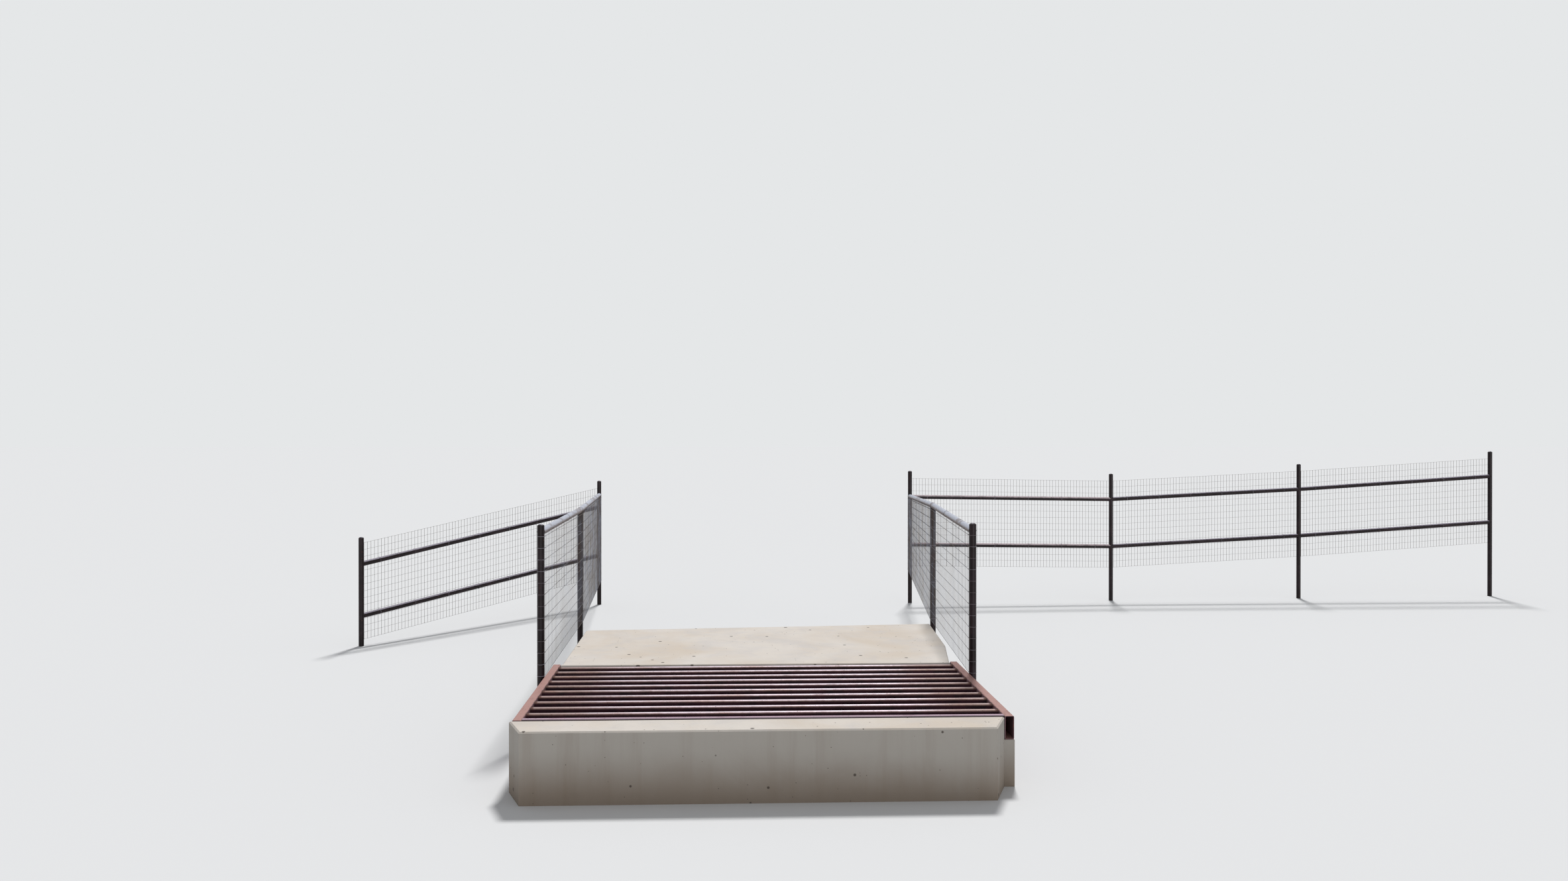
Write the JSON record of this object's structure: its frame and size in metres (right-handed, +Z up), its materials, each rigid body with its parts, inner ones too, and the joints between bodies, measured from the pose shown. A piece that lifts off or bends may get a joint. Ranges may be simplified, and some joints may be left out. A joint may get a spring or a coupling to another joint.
{
  "type": "cattle grid",
  "caption": "Cattle grid of round pipes in a channel frame on concrete footings, with pipe wing fences and the adjoining bays of pipe and wire mesh line fence.",
  "frame": {"origin": "on the underside of the near footing, on the grid's centre line, straight below the near edge of the steel frame; the driving surface is 0.6 m above it", "axes": "+X right across the drive, +Y along the drive from the near header to the far slab, +Z up"},
  "size_m": [19.642, 10.8312, 2.72],
  "materials": {
    "concrete": "broom-finished cast concrete, weathered",
    "frame_steel": "dusty red-brown primer gone to rust",
    "pipe_steel": "bare rusted pipe, worn bright on top by tyres",
    "fence_paint": "black paint, satin, dusty",
    "mesh_wire": "galvanised wire, dull and browned"
  },
  "bodies": {
    "root": {"bearer_1": "frame_steel", "bearer_2": "frame_steel", "bearer_3": "frame_steel", "bearer_4": "frame_steel", "bearer_5": "frame_steel", "far_edge_member": "frame_steel", "far_footing_slab": "concrete", "grid_pipe_1": "pipe_steel", "grid_pipe_10": "pipe_steel", "grid_pipe_2": "pipe_steel", "grid_pipe_3": "pipe_steel", "grid_pipe_4": "pipe_steel", "grid_pipe_5": "pipe_steel", "grid_pipe_6": "pipe_steel", "grid_pipe_7": "pipe_steel", "grid_pipe_8": "pipe_steel", "grid_pipe_9": "pipe_steel", "left_corner_post": "fence_paint", "left_line_mesh": "mesh_wire", "left_line_post": "fence_paint", "left_low_rail": "fence_paint", "left_mid_post": "fence_paint", "left_near_post": "fence_paint", "left_side_rail": "frame_steel", "left_top_rail": "fence_paint", "left_wing_mesh_far": "mesh_wire", "left_wing_mesh_near": "mesh_wire", "left_wing_rail": "fence_paint", "near_edge_member": "frame_steel", "near_footing": "concrete", "right_corner_post": "fence_paint", "right_line_mesh_1": "mesh_wire", "right_line_mesh_2": "mesh_wire", "right_line_mesh_3": "mesh_wire", "right_line_post_1": "fence_paint", "right_line_post_2": "fence_paint", "right_line_post_3": "fence_paint", "right_low_rail_1": "fence_paint", "right_low_rail_2": "fence_paint", "right_low_rail_3": "fence_paint", "right_mid_post": "fence_paint", "right_near_post": "fence_paint", "right_side_rail": "frame_steel", "right_top_rail_1": "fence_paint", "right_top_rail_2": "fence_paint", "right_top_rail_3": "fence_paint", "right_wing_mesh_far": "mesh_wire", "right_wing_mesh_near": "mesh_wire", "right_wing_rail": "fence_paint"}
  },
  "joints": []
}
